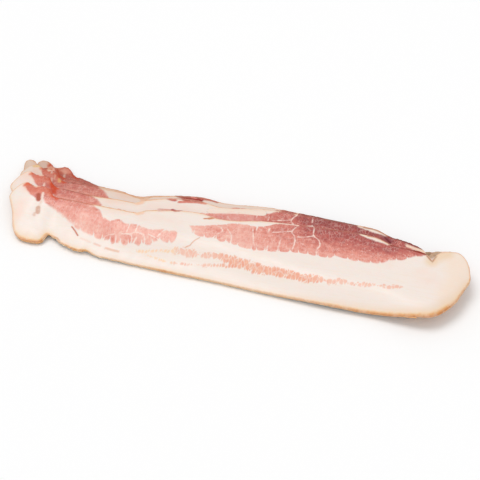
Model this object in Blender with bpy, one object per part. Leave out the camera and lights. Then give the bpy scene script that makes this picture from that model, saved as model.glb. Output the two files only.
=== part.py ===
"""Slab bacon: five rashers cut from one smoked slab, fanned one behind the other.

Metres, +Z up. X runs along the rashers and Y from the rind edge at the front to the meat edge at the back.
The origin is at the bottom centre of the stack. The top rasher lies furthest forward. Each rasher under it is
set further back, so that a strip of its meat edge shows, and every rasher sags past the edges of those below.
"""

import bmesh
import bpy
import numpy as np

MM = 0.001

# Driving dimensions
SLICE = 2.1 * MM  # thickness of a rasher
GAP = 0.3 * MM  # air between two rashers
SAG_START = 1.0 * MM  # a rasher stays level this far past the edge of one below it
SAG_LENGTH = 14.0 * MM  # and comes down by one layer over this length
TIP = 0.25 * MM  # the first and last column of faces stand this far inside a rasher's pointed ends
UNDERCUT = 0.8 * MM  # the rind leans in by this much under the rasher
UNDERCUT_WIDTH = 10 * MM  # and by less where the rasher is narrower than this

# The slab's cut face, drawn in millimetres: x along it, y across it. Smooth curves through these points.
RIND_EDGE = (
    (-129, 30.2), (-126.2, 25.5), (-122.7, 19.5), (-120.8, 14.5), (-117.8, 8.6), (-113, 4.6), (-106.5, 3.7),
    (-102.0, 4.4), (-100.0, 6.2), (-99.0, 10.4), (-97.4, 10.4), (-95.6, 9.3), (-93.6, 9.0), (-91.5, 7.2),
    (-84.5, 4.5), (-79, 3.4), (-76, 4.2), (-72.5, 3.8), (-67, 2.2), (-50, 1.5), (-22, 0.5), (0, 0.0),
    (20, -1.2), (60, -2.9), (80, -3.0), (97, -3.6), (105, -3.4), (111, -2.0), (116, 2.2), (121.5, 10.5),
    (124.5, 19.5), (127, 27),
)
MEAT_EDGE = (
    (-129, 30.2), (-128.4, 33.5), (-126.2, 37.4), (-123.6, 40), (-121.2, 40.6), (-118, 38.6), (-115.5, 37.6),
    (-112, 39), (-108, 38.2), (-105, 35), (-102, 32.6), (-94, 32.3), (-82, 31.9), (-62, 31.5), (-53.8, 31.4),
    (-50.2, 34.4), (-40, 37.2), (-30, 39.4), (-20, 40.0), (-10.5, 37.9), (0, 38.8), (15, 42.4), (41, 44.8),
    (62, 45.8), (75, 45.1), (80.5, 42.8), (85, 40.8), (95, 40.4), (101.5, 39.4), (104, 37.6), (106, 34.6),
    (107.8, 40.4), (112, 43), (117.5, 44.2), (121.5, 42.2), (125, 36), (127, 27),
)
FACE_LENGTH = RIND_EDGE[-1][0] - RIND_EDGE[0][0]

# Each rasher against the one on top of it, in millimetres: how far back it is set at these places along the
# slab, and how far its left and right ends are slid along.
SETBACK_AT = (-129, -120, -108, -98, -88, -78, -64, -54, -35, -9, 15, 60, 82, 97, 112)
SETBACKS = (
    (0, 0, 0, 0, 0, 0, 0, 0, 0, 0, 0, 0, 0, 0, 0),
    (10.8, 12.4, 11.3, 10.4, 9.9, 9.4, 10.5, 10.5, 12.7, 12.3, 12.5, 9.0, 9.2, 7.0, 2.6),
    (12.3, 8.6, 7.7, 9.0, 10.2, 10.1, 8.8, 6.7, 5.1, 6.6, 4.7, 3.2, 3.0, 2.8, 2.0),
    (12.3, 3.4, 6.2, 5.7, 4.1, 4.2, 3.8, 3.2, 2.3, 2.3, 2.3, 2.2, 2.1, 2.0, 1.6),
    (2.8, 5.2, 5.1, 4.6, 2.6, 1.6, 1.2, 1.6, 2.2, 2.2, 2.2, 2.1, 2.0, 1.9, 1.5),
)
SLIDES = ((0, 0), (-4.6, -2.0), (1.0, -1.0), (-2.7, -4.0), (6.4, 2.5))
RASHERS = len(SETBACKS)

# Relief of the upper face at the left end: the swollen end of the lean, and the crease in the fat beside it
KNOB = (-113.0, 36.0)
KNOB_RADII = (9.0 * MM, 5.5 * MM)
KNOB_HEIGHTS = tuple(height * MM for height in (1.0, 1.6, 1.6, 1.1, 1.2))
CREASE = ((-109.6, 29.0), (-107.6, 17.5))
CREASE_WIDTH = 1.8 * MM
CREASE_DEPTH = 0.7 * MM

# Faces along and across each rasher. More are spent on the rashers that sag over several others.
COLUMN_RUNS = (
    (-129, 0), (-119, 8), (-104, 13), (-94, 9), (-70, 10), (-10, 16), (72, 15), (100, 9), (112, 9), (127, 10),
)
COLUMN_SHARES = (0.94, 0.76, 0.68, 0.62, 0.58)
ROW_COUNTS = (16, 15, 14, 11, 6)
ROW_LEAN = 1.25  # above 1, rows crowd towards the rind edge, where rashers sag
SHARP_ANGLE = np.radians(50)  # faces that meet at more than this show a crisp edge

# Colour of each rasher's cut face as a whole (linear RGB), greyer further down the stack, and its finish
TOP_COLOUR = (0.80, 0.56, 0.49)
LOW_COLOUR = (0.62, 0.38, 0.33)
ROUGHNESS = 0.42


def smoothstep(t):
    t = np.clip(t, 0.0, 1.0)
    return t * t * (3.0 - 2.0 * t)


def flowing(points, steps=6):
    """Points along the smooth (Catmull-Rom) curve through these."""
    p = np.array(points, float)
    p = np.vstack([2 * p[0] - p[1], p, 2 * p[-1] - p[-2]])
    t = np.linspace(0, 1, steps, endpoint=False)[:, None]
    spans = [
        0.5 * (2 * b + (c - a) * t + (2 * a - 5 * b + 4 * c - d) * t**2 + (3 * b - a - 3 * c + d) * t**3)
        for a, b, c, d in zip(p, p[1:], p[2:], p[3:])
    ]
    return np.vstack([*spans, p[-2:-1]])


RIND_CURVE, MEAT_CURVE = flowing(RIND_EDGE), flowing(MEAT_EDGE)
SETBACK_CURVES = [flowing(list(zip(SETBACK_AT, row))) for row in SETBACKS]


def read_curve(curve, x):
    return np.interp(x, curve[:, 0], curve[:, 1])


def laid(rasher, x, y):
    """Where a point of the slab's cut face, in millimetres, comes to lie in the laid stack, in metres."""
    left, right = np.sum(SLIDES[: rasher + 1], axis=0)
    share = (x - RIND_EDGE[0][0]) / FACE_LENGTH
    back = sum(read_curve(curve, x) for curve in SETBACK_CURVES[: rasher + 1])
    return (x + left + (right - left) * share) * MM - CENTRE[0], (y + back) * MM - CENTRE[1]


def outline(rasher):
    loop = np.vstack([RIND_CURVE, MEAT_CURVE[-2:0:-1]])
    return np.column_stack(laid(rasher, loop[:, 0], loop[:, 1]))


CENTRE = (0.0, 0.0)
EVERY_OUTLINE = np.vstack([outline(rasher) for rasher in range(RASHERS)])
CENTRE = (EVERY_OUTLINE.min(axis=0) + EVERY_OUTLINE.max(axis=0)) / 2
OUTLINES = [outline(rasher) for rasher in range(RASHERS)]


def distance_outside(x, y, loop):
    """How far each point lies outside a closed outline, and 0 inside it."""
    nearest = np.full(x.shape, np.inf)
    inside = np.zeros(x.shape, bool)
    for (sx, sy), (ex, ey) in zip(loop, np.roll(loop, -1, axis=0)):
        rx, ry = ex - sx, ey - sy
        along = np.clip(((x - sx) * rx + (y - sy) * ry) / (rx * rx + ry * ry), 0, 1)
        nearest = np.minimum(nearest, np.hypot(x - sx - along * rx, y - sy - along * ry))
        if sy != ey:
            inside ^= ((sy > y) != (ey > y)) & (x < sx + rx * (y - sy) / ry)
    return np.where(inside, 0.0, nearest)


def swelling(rasher, x, y):
    centre_x, centre_y = laid(rasher, *KNOB)
    from_centre = np.hypot((x - centre_x) / KNOB_RADII[0], (y - centre_y) / KNOB_RADII[1])
    return KNOB_HEIGHTS[rasher] * smoothstep(1.0 - from_centre)


def creasing(rasher, x, y):
    (x0, y0), (x1, y1) = (laid(rasher, *end) for end in CREASE)
    along = np.clip(((x - x0) * (x1 - x0) + (y - y0) * (y1 - y0)) / ((x1 - x0) ** 2 + (y1 - y0) ** 2), 0, 1)
    away = np.hypot(x - x0 - along * (x1 - x0), y - y0 - along * (y1 - y0))
    return CREASE_DEPTH * smoothstep(1.0 - away / CREASE_WIDTH)


def underside(rasher, x, y):
    """Height of a rasher's lower face. It rests on those below it, and sags past their edges."""
    height = np.zeros(x.shape)
    for lower in range(rasher + 1, RASHERS):
        past = distance_outside(x, y, OUTLINES[lower]) - SAG_START
        height += (SLICE + GAP) * (1.0 - smoothstep(past / SAG_LENGTH)) + swelling(lower, x, y)
    return height


def columns(rasher):
    """Places of the columns of faces along the slab, closest together where the outline turns most."""
    places = [COLUMN_RUNS[0][0] + TIP / MM]
    for (start, _), (end, count) in zip(COLUMN_RUNS, COLUMN_RUNS[1:]):
        places.extend(np.linspace(start, end, round(count * COLUMN_SHARES[rasher]) + 1)[1:])
    places[-1] -= TIP / MM
    return np.array(places)


def add_rasher(rasher):
    """One rasher, as a grid of quads for each face and a band of quads for its edge."""
    along = columns(rasher)
    across = np.linspace(0, 1, ROW_COUNTS[rasher]) ** ROW_LEAN
    rind, meat = read_curve(RIND_CURVE, along), read_curve(MEAT_CURVE, along)
    width = (meat - rind)[:, None]
    x, y = laid(rasher, along[:, None] + 0 * across, rind[:, None] + width * across)
    top = underside(rasher, x, y) + SLICE + swelling(rasher, x, y) - creasing(rasher, x, y)
    lean_in = UNDERCUT * np.minimum(width * MM / UNDERCUT_WIDTH, 1) * (1 - across) ** 4
    bottom = underside(rasher, x, y + lean_in)

    mesh = bmesh.new()
    lower, upper = (
        [[mesh.verts.new(point) for point in zip(*line)] for line in zip(x, depth, height)]
        for depth, height in ((y + lean_in, bottom), (y, top))
    )
    last_column, last_row = len(along) - 1, len(across) - 1
    for i in range(last_column):
        for j in range(last_row):
            mesh.faces.new((upper[i][j], upper[i + 1][j], upper[i + 1][j + 1], upper[i][j + 1]))
            mesh.faces.new((lower[i][j], lower[i][j + 1], lower[i + 1][j + 1], lower[i + 1][j]))
    edge = [(i, 0) for i in range(last_column)] + [(last_column, j) for j in range(last_row)]
    edge += [(i, last_row) for i in range(last_column, 0, -1)] + [(0, j) for j in range(last_row, 0, -1)]
    for (i, j), (k, m) in zip(edge, edge[1:] + edge[:1]):
        mesh.faces.new((lower[i][j], lower[k][m], upper[k][m], upper[i][j]))

    name = f"rasher_{rasher + 1}"
    data = bpy.data.meshes.new(name)
    mesh.to_mesh(data)
    mesh.free()
    data.shade_smooth()
    data.set_sharp_from_angle(angle=SHARP_ANGLE)
    data.materials.append(cut_face(name, rasher / (RASHERS - 1)))
    bpy.context.scene.collection.objects.link(bpy.data.objects.new(name, data))


def cut_face(name, share):
    """Material of a rasher, by its place from the top of the stack (0) to the bottom (1)."""
    material = bpy.data.materials.new(name)
    material.use_nodes = True
    shader = material.node_tree.nodes["Principled BSDF"]
    colour = [high + (low - high) * share for high, low in zip(TOP_COLOUR, LOW_COLOUR)]
    shader.inputs["Base Color"].default_value = (*colour, 1.0)
    shader.inputs["Roughness"].default_value = ROUGHNESS
    shader.inputs["Metallic"].default_value = 0.0
    return material


def main():
    for thing in list(bpy.data.objects):
        bpy.data.objects.remove(thing)
    for rasher in range(RASHERS):
        add_rasher(rasher)


main()
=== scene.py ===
"""Slab bacon in its final looks: five rashers of streaky bacon, fanned one behind the other.

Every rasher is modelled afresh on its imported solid, which gives the outline, the heights and the
undercut rind. What the cut faces show is drawn once, on the slab's own face, because neighbouring
rashers show nearly the same. There x runs along the slab and y across it, in millimetres, with
y = 0 near the rind. The scene is in metres.
"""

import math

import bmesh
import bpy
import numpy as np
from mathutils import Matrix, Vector, noise
from mathutils.kdtree import KDTree


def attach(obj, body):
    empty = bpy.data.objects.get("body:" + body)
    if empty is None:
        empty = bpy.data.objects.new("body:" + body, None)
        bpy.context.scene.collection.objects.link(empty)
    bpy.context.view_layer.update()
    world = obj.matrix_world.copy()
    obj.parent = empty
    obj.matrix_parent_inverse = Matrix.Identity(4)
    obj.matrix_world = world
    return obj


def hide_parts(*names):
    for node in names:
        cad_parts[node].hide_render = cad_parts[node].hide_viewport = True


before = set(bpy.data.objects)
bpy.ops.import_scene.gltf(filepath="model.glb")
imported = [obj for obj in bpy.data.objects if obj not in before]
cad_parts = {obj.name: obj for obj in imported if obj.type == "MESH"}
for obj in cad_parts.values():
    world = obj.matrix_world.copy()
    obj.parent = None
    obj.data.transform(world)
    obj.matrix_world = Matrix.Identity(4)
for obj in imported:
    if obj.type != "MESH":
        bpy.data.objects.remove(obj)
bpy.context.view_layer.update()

MM = 0.001

# Camera: it looks down on the stack, a little from the right
CAMERA_AZIMUTH = 15.0
CAMERA_ELEVATION = 42.0
CAMERA_DISTANCE = 0.607
CAMERA_LENS = 85.0
CAMERA_SENSOR = 36.0
CAMERA_TARGET = (0.00825, -0.00405, 0.006)

# Light: where each sun shines from and how strongly, how soft the suns are, and the white surroundings
SUNS = (
    ("key", (-0.36, 0.14, 0.92), 1.03),
    ("fill", (0.4, -0.6, 0.69), 0.27),
    ("low", (0.1, -0.95, 0.3), 0.14),
)
SUN_ANGLE = 35
WORLD_STRENGTH = 0.64
FLOOR_SIZE = 6.0
FLOOR_WHITE = (0.99, 0.99, 0.99)
FLOOR_ROUGHNESS = 0.9

# The slab's drawing against the frame: where its ends are, and how high the rind lies at one place
SLAB_ENDS = (-128.75, 126.75)
RIND_PLACE = (60.0, -2.9)

# Fineness of the meshes: the top rasher is seen whole, the others as strips
TOP_STEP = 0.46 * MM
LOWER_STEP = 0.62 * MM
EDGE_STEPS = np.array([0.0, 0.1, 0.25, 0.45, 0.75, 1.1, 1.5]) * MM
UNDER_EVERY = 3  # the lower face has one row of points for this many of the upper face
RIM_RADIUS = 0.45 * MM
WALL_LEVELS = (0.3, 0.62)
FACET_BLUR = 1.4 * MM  # smooths the solid's facets away, on a grid of this step and margin
SURFACE_STEP = 0.5 * MM
SURFACE_MARGIN = 5.0 * MM
RIM_STEP = 0.15 * MM  # the rim is read at this step and smoothed over this blur
RIM_BLUR = 0.45 * MM
RIM_BLUR_STEPS = 12
END_INSET = 0.03 * MM  # the mesh ends this far inside the solid's outline

# Relief of the upper face: height, size and seed of each layer
RELIEF = ((0.10 * MM, 13.0, 0), (0.05 * MM, 4.0, 3))
RASHER_SEED = 7.3  # each rasher's relief differs from the last one's by this much
TEXTURE_SHIFT = 40  # and its texture lies this many times further off, in millimetres
SLICE = 2.1  # thickness of a rasher on the drawing, in millimetres

# Crags of the edges, in millimetres: size and weight of each layer, how far they fade out at the ends,
# and how much they differ from one rasher to the next
CRAG_LAYERS = ((4.0, 1.0), (1.5, 0.7))
CRAG_FADE = 6
CRAG_SEED = 3.1


# ----------------------------------------------------------
# Small helpers


def srgb(*values):
    """Linear colour of an sRGB value from 0 to 255."""
    parts = [value / 255 for value in values]
    return tuple(p / 12.92 if p <= 0.04045 else ((p + 0.055) / 1.055) ** 2.4 for p in parts)


def smoothstep(low, high, value):
    t = np.clip((value - low) / (high - low), 0.0, 1.0)
    return t * t * (3.0 - 2.0 * t)


def flowing(points, steps=8):
    """Points along the smooth (Catmull-Rom) curve through these."""
    p = np.array(points, float)
    p = np.vstack([2 * p[0] - p[1], p, 2 * p[-1] - p[-2]])
    t = np.linspace(0, 1, steps, endpoint=False)[:, None]
    spans = [
        0.5 * (2 * b + (c - a) * t + (2 * a - 5 * b + 4 * c - d) * t**2 + (3 * b - a - 3 * c + d) * t**3)
        for a, b, c, d in zip(p, p[1:], p[2:], p[3:])
    ]
    return np.vstack([*spans, p[-2:-1]])


def segment_distance(x, y, start, end):
    rx, ry = end[0] - start[0], end[1] - start[1]
    along = np.clip(((x - start[0]) * rx + (y - start[1]) * ry) / max(rx * rx + ry * ry, 1e-12), 0, 1)
    return np.hypot(x - start[0] - along * rx, y - start[1] - along * ry)


def line_distance(x, y, points):
    """Distance of each place from a line through these points."""
    return np.min([segment_distance(x, y, a, b) for a, b in zip(points, points[1:])], axis=0)


def inside_by(x, y, loop):
    """How far inside a closed outline each place lies. It is negative outside."""
    nearest = np.full(x.shape, np.inf)
    inside = np.zeros(x.shape, bool)
    for a, b in zip(loop, np.roll(loop, -1, axis=0)):
        nearest = np.minimum(nearest, segment_distance(x, y, a, b))
        if a[1] != b[1]:
            inside ^= ((a[1] > y) != (b[1] > y)) & (x < a[0] + (b[0] - a[0]) * (y - a[1]) / (b[1] - a[1]))
    return np.where(inside, nearest, -nearest)


def blur(field, radius, axis):
    """A Gaussian blur along one axis, in grid steps, that keeps slopes straight up to the border."""
    reach = int(math.ceil(2.5 * radius))
    weights = np.exp(-0.5 * (np.arange(-reach, reach + 1) / radius) ** 2)
    padding = [(0, 0), (0, 0)]
    padding[axis] = (reach, reach)
    padded = np.pad(field, padding, mode="reflect", reflect_type="odd")
    size = field.shape[axis]
    parts = [w * np.take(padded, range(k, k + size), axis=axis) for k, w in enumerate(weights)]
    return sum(parts) / weights.sum()


def wander(x, y, size, seed):
    """Smooth random values, about -1 to 1, that change over this size."""
    places = zip((x / size).ravel(), (y / size).ravel())
    return np.array([noise.noise(Vector((a, b, seed))) for a, b in places]).reshape(x.shape)


# ----------------------------------------------------------
# The rashers' forms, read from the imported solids


def smooth_rim(mesh, sheet):
    """The rim of a sheet of faces, rounded a little, as its front and its back edge from left to right."""
    neighbours = {}
    for edge in mesh.edges:
        if sum(face in sheet for face in edge.link_faces) == 1:
            for vertex in edge.verts:
                neighbours.setdefault(vertex, []).append(edge.other_vert(vertex))
    start = min(neighbours, key=lambda vertex: vertex.index)
    loop = [start, neighbours[start][0]]
    while loop[-1] is not start:
        one, other = neighbours[loop[-1]]
        loop.append(other if one is loop[-2] else one)
    corners = np.array([vertex.co.xy for vertex in loop])
    lengths = np.append(0.0, np.cumsum(np.hypot(*np.diff(corners, axis=0).T)))
    places = np.linspace(0.0, lengths[-1], int(lengths[-1] / RIM_STEP), endpoint=False)
    even = np.column_stack([np.interp(places, lengths, values) for values in corners.T])
    reach = np.arange(-RIM_BLUR_STEPS, RIM_BLUR_STEPS + 1)
    weights = np.exp(-0.5 * (reach * RIM_STEP / RIM_BLUR) ** 2)
    points = sum(weight * np.roll(even, shift, axis=0) for weight, shift in zip(weights, reach))
    points = points / weights.sum()
    points = np.roll(points, -np.argmin(points[:, 0]), axis=0)
    last = np.argmax(points[:, 0])
    front, back = sorted((points[:last + 1], points[:last - 1:-1]), key=lambda curve: curve[:, 1].mean())
    for curve in (front, back):
        curve[:, 0] = np.maximum.accumulate(curve[:, 0])
    return front, back


def read_solid(node):
    """For a solid's upper and then its lower face: the front edge, the back edge and the surface."""
    mesh = bmesh.new()
    mesh.from_mesh(node.data)
    bmesh.ops.remove_doubles(mesh, verts=mesh.verts, dist=1e-6)
    mesh.normal_update()
    sheets = []
    for up in (1, -1):
        sheet = {face for face in mesh.faces if face.normal.z * up > 0.5}
        triangles = np.array([[vertex.co for vertex in face.verts] for face in mesh.faces if face in sheet])
        sheets.append((*smooth_rim(mesh, sheet), Surface(triangles)))
    mesh.free()
    return sheets


class Surface:
    """Height of a sheet of faces anywhere on it or just past its rim, with the facets smoothed away."""

    def __init__(self, triangles):
        low, high = triangles.min(axis=(0, 1)) - SURFACE_MARGIN, triangles.max(axis=(0, 1)) + SURFACE_MARGIN
        self.start = low[:2]
        self.xs, self.ys = (np.arange(low[axis], high[axis], SURFACE_STEP) for axis in (0, 1))
        found = self.rasterised(triangles)
        met = np.flatnonzero(~np.isnan(found).all(axis=1))
        for index in range(len(found)):
            found[index] = self.continued(found[met[np.argmin(abs(met - index))]])
        for axis in (0, 1):
            found = blur(found, FACET_BLUR / SURFACE_STEP, axis)
        self.height = found

    def rasterised(self, triangles):
        found = np.full((len(self.xs), len(self.ys)), np.nan)
        for a, b, c in triangles:
            area = (b[1] - c[1]) * (a[0] - c[0]) + (c[0] - b[0]) * (a[1] - c[1])
            first, last = np.searchsorted(self.xs, (min(a[0], b[0], c[0]), max(a[0], b[0], c[0])))
            front, back = np.searchsorted(self.ys, (min(a[1], b[1], c[1]), max(a[1], b[1], c[1])))
            if first == last or front == back or abs(area) < 1e-13:
                continue
            x, y = self.xs[first:last, None] - c[0], self.ys[None, front:back] - c[1]
            to_a = ((b[1] - c[1]) * x + (c[0] - b[0]) * y) / area
            to_b = ((c[1] - a[1]) * x + (a[0] - c[0]) * y) / area
            within = np.minimum(np.minimum(to_a, to_b), 1 - to_a - to_b) > -1e-3
            height = to_a * a[2] + to_b * b[2] + (1 - to_a - to_b) * c[2]
            cells = found[first:last, front:back]
            cells[within] = height[within]
        return found

    @staticmethod
    def continued(line):
        """A row of heights continued past the rim as straight on as it came."""
        known = np.flatnonzero(~np.isnan(line))
        first, last = known[0], known[-1]
        inside = np.interp(np.arange(first, last + 1), known, line[known])
        before = 2 * inside[0] - inside[np.minimum(np.arange(first, 0, -1), last - first)]
        after = 2 * inside[-1] - inside[np.maximum(last - first - np.arange(1, len(line) - last), 0)]
        return np.concatenate([before, inside, after])

    def read(self, x, y):
        across = np.clip((x - self.start[0]) / SURFACE_STEP, 0, len(self.xs) - 1.001)
        deep = np.clip((y - self.start[1]) / SURFACE_STEP, 0, len(self.ys) - 1.001)
        i, j = across.astype(int), deep.astype(int)
        u, v = across - i, deep - j
        h = self.height
        front = h[i, j] * (1 - u) + h[i + 1, j] * u
        back = h[i, j + 1] * (1 - u) + h[i + 1, j + 1] * u
        return front * (1 - v) + back * v


def spread(low, high, step):
    """Places from low to high a step apart, closer together towards both ends, for columns and rows."""
    share = np.minimum(1.0, (high - low) / (6 * EDGE_STEPS[-1]))
    count = max(int(np.max(high - low) / step), 8)
    inner = np.linspace(0, 1, count)[1:-1]
    edge = np.multiply.outer(share, EDGE_STEPS)
    low, high = np.asarray(low)[..., None], np.asarray(high)[..., None]
    first, last = low + edge, high - edge[..., ::-1]
    middle = first[..., -1:] + (last[..., :1] - first[..., -1:]) * inner
    return np.concatenate([first, middle, last], axis=-1)


class Rasher:
    """One rasher's grid of points, with its place on the slab's drawing."""

    def __init__(self, index):
        self.index = index
        self.name = f"rasher_{index + 1}"
        self.upper, self.lower = read_solid(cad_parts[self.name])
        front = self.upper[0]
        self.left, self.right = front[0, 0] + END_INSET, front[-1, 0] - END_INSET

    def slab_x(self, x):
        share = (x - self.left) / (self.right - self.left)
        return SLAB_ENDS[0] + share * (SLAB_ENDS[1] - SLAB_ENDS[0])

    def rind_at(self, slab_x):
        """Y in the frame of this rasher's rind, for a place on the slab's drawing."""
        curve = self.upper[0]
        return np.interp(slab_x, self.slab_x(curve[:, 0]), curve[:, 1])


def slab_y(rasher, top_rasher, x, y):
    """Place across the slab's drawing. Setbacks are measured against the top rasher's rind."""
    along = rasher.slab_x(x)
    setback = rasher.rind_at(along) - top_rasher.rind_at(along)
    return (y - setback - top_rasher.rind_at(RIND_PLACE[0])) / MM + RIND_PLACE[1]


# ----------------------------------------------------------
# What the slab's cut face shows. Outlines and lines on the drawing, in millimetres.

LEFT_LEAN = (
    (-109.4, 34.6), (-108.7, 31.6), (-107.2, 28.8), (-105, 27), (-100, 25.3), (-96, 23.4), (-91, 20.6),
    (-86.6, 18), (-84, 16), (-80, 15), (-75, 13.6), (-70, 11.9), (-65, 11.7), (-61.4, 10.2), (-58.6, 11),
    (-55.4, 10.2), (-52.4, 11), (-50, 12.2), (-47, 11.3), (-44, 12.4), (-40.6, 12.6), (-37.6, 14.6),
    (-35, 15.4), (-31.4, 14.7), (-28.4, 16), (-27, 18.6), (-27.6, 21.4), (-30, 22.4), (-33, 21.7),
    (-36.4, 22.2), (-40, 20.9), (-45, 20.4), (-50.4, 22.3), (-55, 21.6), (-58, 21.6), (-61.4, 23.9),
    (-66, 21.8), (-70, 23.2), (-73, 26.4), (-76.6, 29.8), (-80.4, 32), (-84, 37), (-96, 42), (-108, 42),
)
RIGHT_LEAN = (
    (-23.4, 28.6), (-21.4, 26), (-20.2, 22.8), (-17.4, 22), (-13, 21.4), (-9, 22.4), (-5.2, 20.8),
    (1, 20.8), (4, 19.7), (8.8, 19.2), (14.2, 18.3), (18.4, 19.2), (24, 20), (29, 20.8), (34, 22),
    (44, 22.6), (54, 22.6), (56.4, 24.8), (66, 24.1), (74, 24.6), (80, 25.6), (85.6, 29.4), (91, 31),
    (96.4, 35.2), (102.4, 38.2), (103, 50), (84.6, 50), (83.2, 41.4), (79.6, 41.3), (74.6, 42.2),
    (70, 43.6), (66, 45.0), (63, 50), (38, 50), (33.2, 44), (28, 43.9), (22.4, 42.5), (18, 39.6),
    (13.6, 37.4), (8, 37), (0, 36.4), (-9, 32.9), (-17, 30.2),
)
FINGER = (
    (-122.4, 38.2), (-121.6, 40.5), (-119.2, 39.2), (-116.6, 37.2), (-114.6, 36.4), (-112.8, 38.4),
    (-112.6, 44), (-104, 44), (-103.4, 35.4), (-107.6, 32.8), (-109.8, 34), (-109.6, 31), (-109.2, 28.4),
    (-110.8, 27.4), (-112.2, 29.2), (-115.2, 30.5), (-118.2, 33), (-120.8, 36),
)

# How far the finger's tip is drawn in from the end on each rasher, and where along the slab that
# begins and is full
FINGER_SHIFTS = (0.0, 2.5, 4.4, 7.4, 0.8)
FINGER_SHIFT_AT = (-106, -118)

# Thin seams of fat in the lean, as lines
SEPTA = (
    ((33.4, 45), (30.8, 38), (33.2, 34), (34.2, 28), (33.7, 20.6)),
    ((30.6, 38.2), (25, 36), (21, 34.6)),
    ((34.5, 34.6), (38, 35.2), (42.4, 37.4)),
    ((41, 47), (41.8, 42), (42.6, 37.6), (46, 34.8), (47.4, 30.6), (46.4, 27), (47.8, 21)),
    ((10, 34.6), (11.6, 29.6), (12.8, 25), (14.8, 20.4)),
    ((-3, 31), (0.4, 26.4), (1.8, 18.6)),
    ((-6.6, 31), (-5.2, 28.8), (-8, 24), (-8.6, 20.6)),
    ((12, 37), (12.2, 34)),
    ((18.8, 37), (18.6, 33.8)),
    ((21, 24), (21.4, 18)),
    ((26.4, 30), (26.8, 18)),
    ((-66.9, 10.5), (-66.4, 13.4), (-63.8, 14.5), (-61.6, 14.8)),
    ((-59.8, 9), (-60, 13.4), (-61.6, 16)),
    ((-51.2, 10), (-51.4, 14.4), (-53, 15.7), (-57.4, 15.4)),
    ((-49.6, 12.4), (-48.8, 14.8)),
    ((-43.6, 11), (-44.4, 15.2), (-45.4, 17)),
    ((-53, 15.7), (-50, 17.2), (-46.4, 16.8)),
    ((-43, 17.4), (-39.4, 16.4), (-36.6, 15.4), (-35.6, 13)),
    ((-38, 16.8), (-36.8, 19), (-35.2, 22)),
    ((-54.9, 17), (-54.6, 23)),
    ((-50.2, 17.2), (-50.3, 23)),
    ((-73.4, 11), (-72.8, 14.6)),
)

# How uneven the edges are, in millimetres: place along the slab, how much. The rind is cragged near
# its notch.
RIND_CRAGS = (
    (-129, 0.12), (-101, 0.14), (-96, 0.5), (-84, 0.5), (-72, 0.5), (-60, 0.28), (-45, 0.15), (127, 0.14),
)
MEAT_CRAGS = (
    (-129, 0.2), (-122, 0.3), (-104, 0.35), (-96, 0.3), (-60, 0.16), (75, 0.16), (84, 0.3), (127, 0.2),
)

# Narrow streaks: place along the slab, middle, half width
STREAK = (
    (-47, 8.6, 0.4), (-42, 9.3, 0.8), (-38, 10.2, 0.5), (-33, 10.9, 0.8), (-29, 11.4, 0.8),
    (-26.6, 12, 1.8), (-23, 12.6, 1.7), (-20, 12.2, 2.1), (-16, 12.4, 1.9), (-13, 12.2, 1.0),
    (-8, 12.6, 1.6), (-2, 12.8, 1.6), (4, 11.6, 2.5), (10, 10.7, 2.2), (15, 10, 2.3), (20, 9.2, 2.4),
    (26, 8.8, 2.2), (32, 8.4, 2.0), (38, 8, 1.9), (42, 7.4, 1.9), (46, 7.2, 2.2), (50, 7.4, 1.8),
    (53.6, 7.6, 1.3), (55.2, 7.4, 0.1), (57, 7, 1.2), (60.4, 7.4, 1.2), (62, 8.2, 1.5), (65.6, 8.3, 1.2),
    (67, 7.8, 0.3), (69.4, 7.9, 1.1), (72, 8.6, 1.0), (76, 8.8, 1.2), (79.6, 9.4, 0.8), (81.4, 9.4, 0.1),
    (84, 9.6, 1.0), (88, 10, 1.4), (92, 10.8, 1.2), (95, 11.4, 0.3),
)
LOWER_STREAK = (
    (-43, 7.6, 0.2), (-38, 7.4, 0.5), (-32, 6.3, 0.7), (-29.6, 6.2, 0.1), (-26, 6.1, 0.7),
    (-23.6, 6.2, 0.1), (-19, 6.6, 0.6), (-14, 7.2, 0.1), (-9, 7.6, 0.9), (-5, 8.5, 0.7), (3, 9, 0.9),
    (8, 9.2, 0.5),
)

# Below its middle line the lean ends in round bundles of fibres. Along the slab: the middle line, how
# deep the clefts between the bundles are (0 to 1), and how soft the lean's edge is in millimetres
LEAN_EDGE = (
    (-125, 34, 0, 0.5), (-105, 31, 0, 0.8), (-92, 25.5, 0.1, 1.1), (-80, 23, 0.5, 0.9),
    (-68, 18.5, 0.8, 0.6), (-45, 16.5, 0.8, 0.55), (-28, 19, 0.7, 0.5), (-20, 26, 0.7, 0.4),
    (0, 28, 0.9, 0.4), (35, 31.5, 0.8, 0.4), (50, 32, 0.6, 0.4), (64, 32.5, 0.5, 0.6), (80, 33, 0.45, 0.8),
    (103, 38, 0.3, 0.9),
)

# How red the lean is, from 0 (pale) to 1 (dark): place along the slab, then height and redness low in
# the lean and high in it
REDNESS = (
    (-125, 30, 0.60, 40, 0.62), (-108, 28, 0.46, 38, 0.62), (-95, 23, 0.34, 34, 0.52),
    (-80, 15, 0.15, 31, 0.40), (-65, 12, 0.26, 23, 0.28), (-45, 11, 0.21, 22, 0.17),
    (-28, 15, 0.18, 22, 0.19), (-22, 23, 0.10, 29, 0.14), (-8, 22, 0.26, 33, 0.32), (4, 20, 0.18, 36, 0.26),
    (15, 19, 0.28, 38, 0.38), (22, 20, 0.28, 41, 0.56), (33, 21, 0.33, 43, 0.64), (45, 23, 0.31, 44, 0.86),
    (60, 24, 0.35, 44, 0.90), (78, 25, 0.37, 42, 0.86), (90, 30, 0.44, 39, 0.76), (101, 36, 0.54, 39, 0.70),
)
LOWER_REDDER = 0.10  # added on every rasher but the top one

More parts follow.
